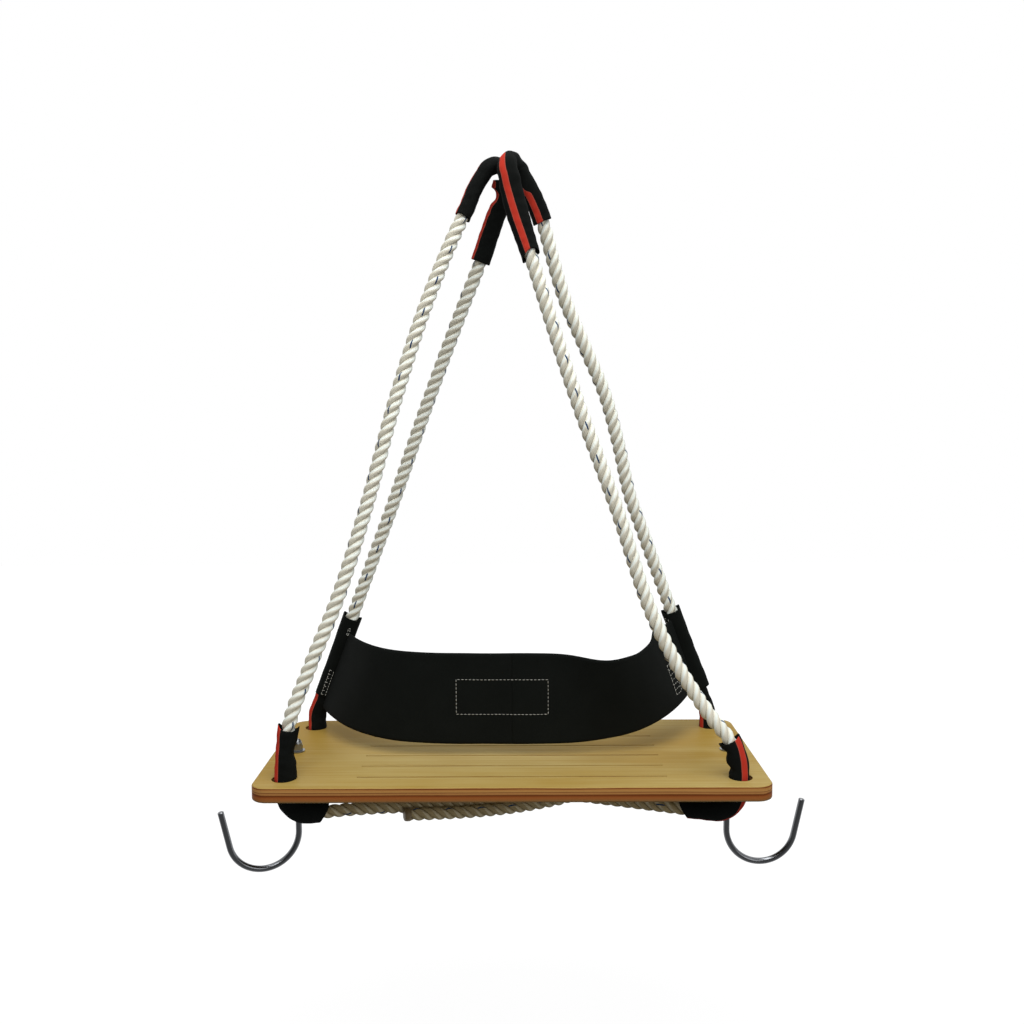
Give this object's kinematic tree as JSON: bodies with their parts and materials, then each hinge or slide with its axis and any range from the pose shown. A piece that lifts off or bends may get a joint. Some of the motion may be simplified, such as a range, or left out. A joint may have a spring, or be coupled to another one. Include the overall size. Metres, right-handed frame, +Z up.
{
  "type": "bosun's chair",
  "caption": "Bosun's chair: grooved plywood seat slung in an endless laid rope, with webbing sleeves, a sliding back band and a swivelling tool hook under each end.",
  "frame": {"origin": "suspension point, above the middle of the seat and at the underside of the crown sleeves", "axes": "+Z up, -Y towards the front of the seat, +X to the right as seen from the front"},
  "size_m": [0.7444, 0.27, 0.893],
  "materials": {
    "varnished_plywood": "satin varnish",
    "laid_rope": "three-strand laid",
    "sleeve_webbing": "tubular webbing with a red stripe",
    "band_webbing": "ribbed webbing",
    "plated_rod": "bright plated",
    "zinc_fastener": "bright plated"
  },
  "bodies": {
    "chair": {"seat_board": "varnished_plywood", "rope_leg_front_left": "laid_rope", "rope_leg_front_right": "laid_rope", "rope_leg_rear_left": "laid_rope", "rope_leg_rear_right": "laid_rope", "rope_crown_left": "laid_rope", "rope_crown_right": "laid_rope", "rope_crossing_upper": "laid_rope", "rope_crossing_lower": "laid_rope", "rope_splice_tail": "laid_rope", "crown_sleeve_left": "sleeve_webbing", "crown_sleeve_right": "sleeve_webbing", "hole_sleeve_front_left": "sleeve_webbing", "hole_sleeve_front_right": "sleeve_webbing", "hole_sleeve_rear_left": "sleeve_webbing", "hole_sleeve_rear_right": "sleeve_webbing", "top_washer_left": "zinc_fastener", "top_washer_right": "zinc_fastener", "lower_washer_left": "zinc_fastener", "lower_washer_right": "zinc_fastener"},
    "back_band": {"back_band": "band_webbing"},
    "band_end_left": {"band_loop_left": "band_webbing"},
    "band_end_right": {"band_loop_right": "band_webbing"},
    "hook_left": {"hook_left": "plated_rod", "dome_nut_left": "zinc_fastener", "lock_nut_left": "zinc_fastener"},
    "hook_right": {"hook_right": "plated_rod", "dome_nut_right": "zinc_fastener", "lock_nut_right": "zinc_fastener"}
  },
  "joints": [
    {"name": "hook_left_swivel", "type": "hinge", "parent": "chair", "child": "hook_left", "pos_m": [-0.275, 0, -0.718], "axis": [0, 0, 1], "continuous": true},
    {"name": "hook_right_swivel", "type": "hinge", "parent": "chair", "child": "hook_right", "pos_m": [0.275, 0, -0.718], "axis": [0, 0, 1], "continuous": true},
    {"name": "band_slide", "type": "slide", "parent": "chair", "child": "back_band", "axis": [0, -0.1274, 0.9919], "range_m": [0, 0.12]},
    {"name": "band_left_follow", "type": "slide", "parent": "back_band", "child": "band_end_left", "axis": [0.9986, 0.0524, 0], "range_m": [0, 0.047], "deforming": ["back_band"]},
    {"name": "band_right_follow", "type": "slide", "parent": "back_band", "child": "band_end_right", "axis": [-0.9986, -0.0536, 0], "range_m": [0, 0.047], "deforming": ["back_band"]}
  ],
  "couplings": [
    {"joint": "band_left_follow", "follows": "band_slide", "ratio": 0.38149},
    {"joint": "band_right_follow", "follows": "band_slide", "ratio": 0.37314}
  ]
}
